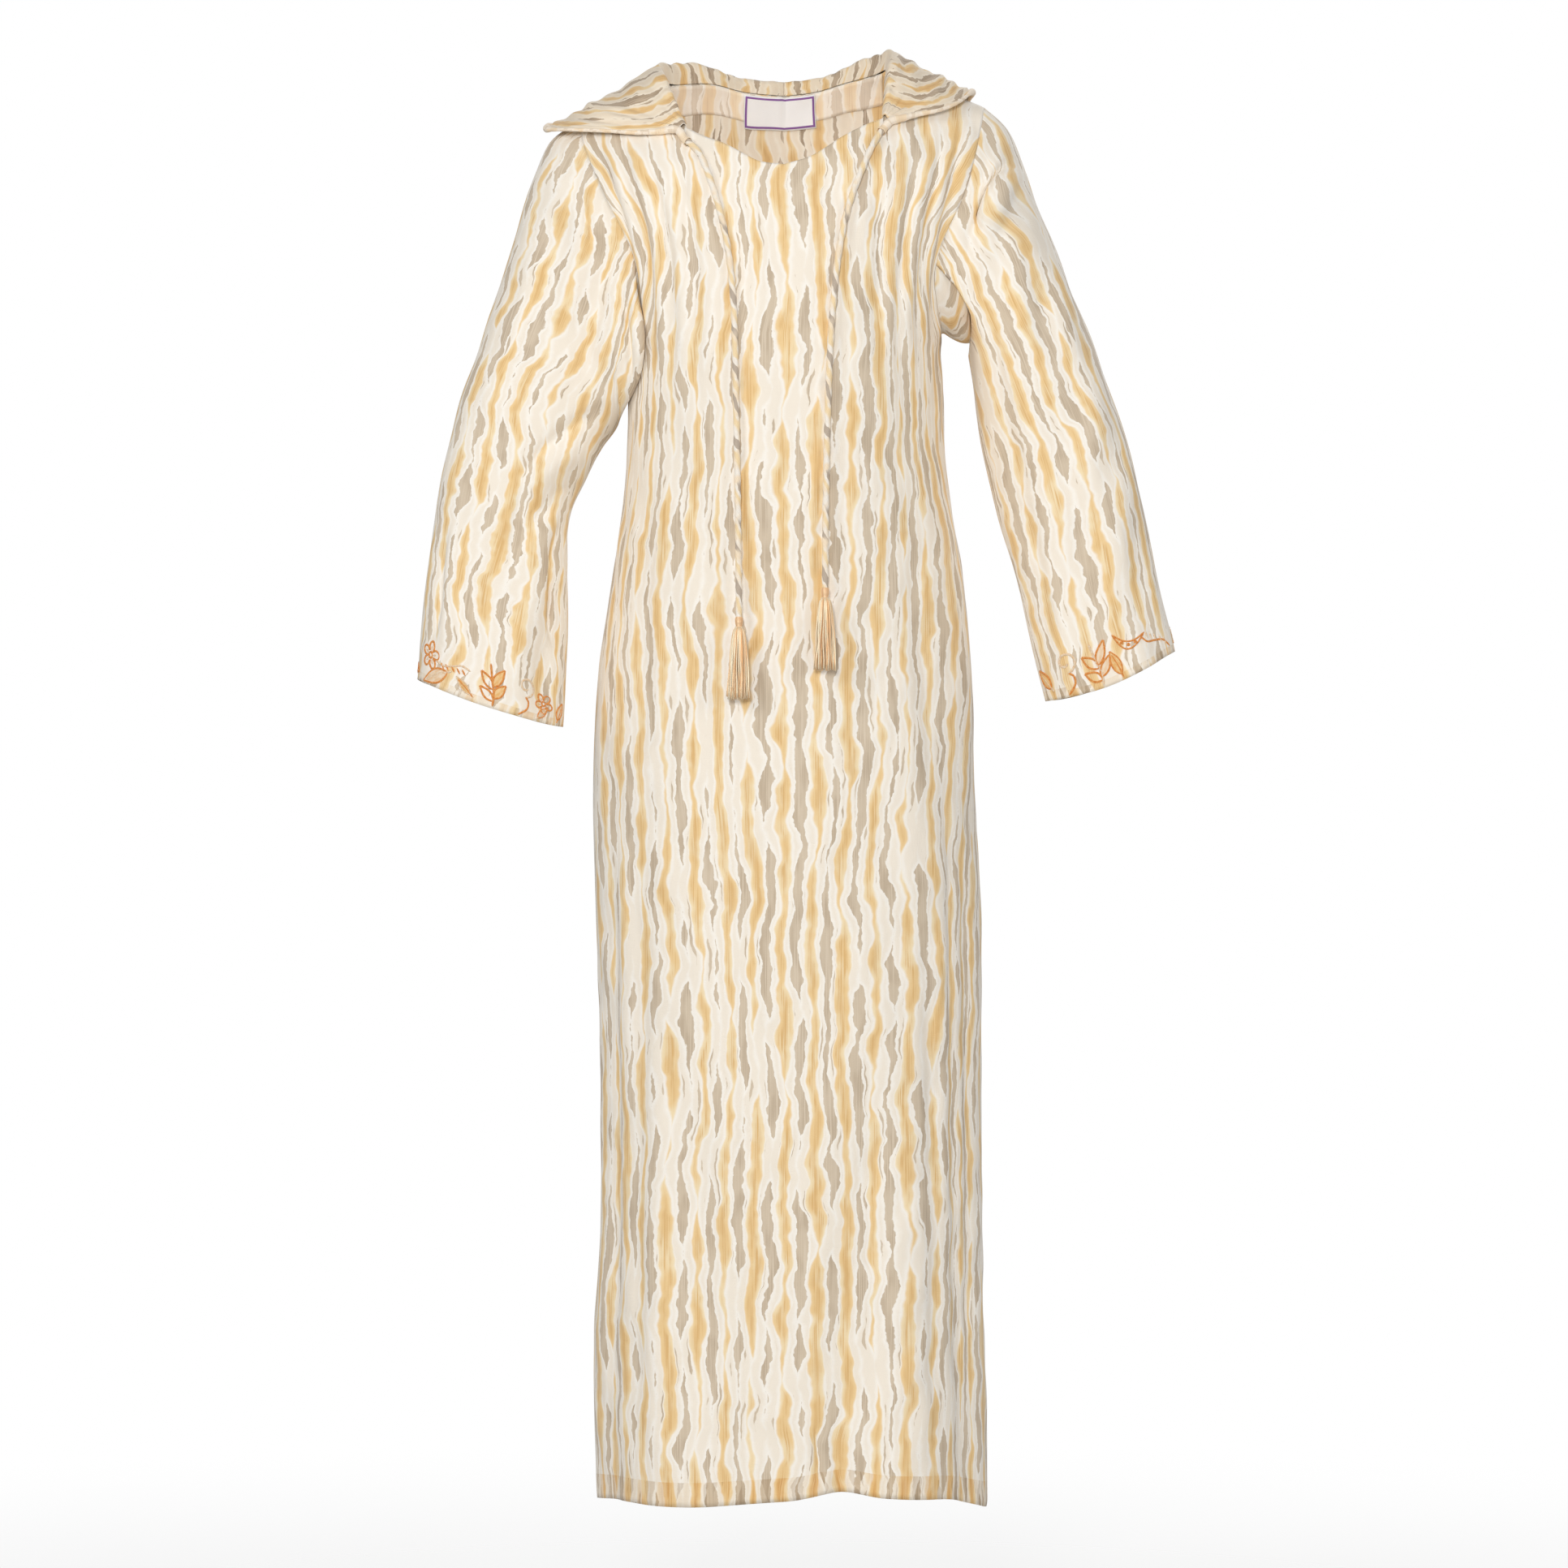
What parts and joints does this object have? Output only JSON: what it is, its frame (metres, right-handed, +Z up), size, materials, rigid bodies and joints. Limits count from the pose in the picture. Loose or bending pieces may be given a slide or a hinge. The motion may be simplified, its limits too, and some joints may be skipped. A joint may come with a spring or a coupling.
{
  "type": "hooded kaftan dress",
  "caption": "Long straight hooded kaftan dress in its worn, hollow form: set-in sleeves, underarm gussets, hood dropped back, tasselled drawstring.",
  "frame": {"origin": "between the shoulders, level with the middle of the shoulder seams, where the wearer carries the dress", "axes": "+Z up along the dress, -Y out of its front, +X to the right as seen from the front"},
  "size_m": [0.7122, 0.3065, 1.3784],
  "materials": {
    "voile": "thin matt cotton and silk voile with a printed stripe",
    "woven_label": "smooth woven tape, plain",
    "tassel_silk": "lustrous twisted strands"
  },
  "bodies": {
    "root": {"front_panel": "voile", "back_panel": "voile", "sleeve_left": "voile", "sleeve_right": "voile", "gusset_left": "voile", "gusset_right": "voile", "hood_left": "voile", "hood_right": "voile", "neck_facing": "voile", "neck_label": "woven_label", "drawstring_left": "voile", "drawstring_right": "voile", "tassel_left": "tassel_silk", "tassel_right": "tassel_silk"}
  },
  "joints": []
}
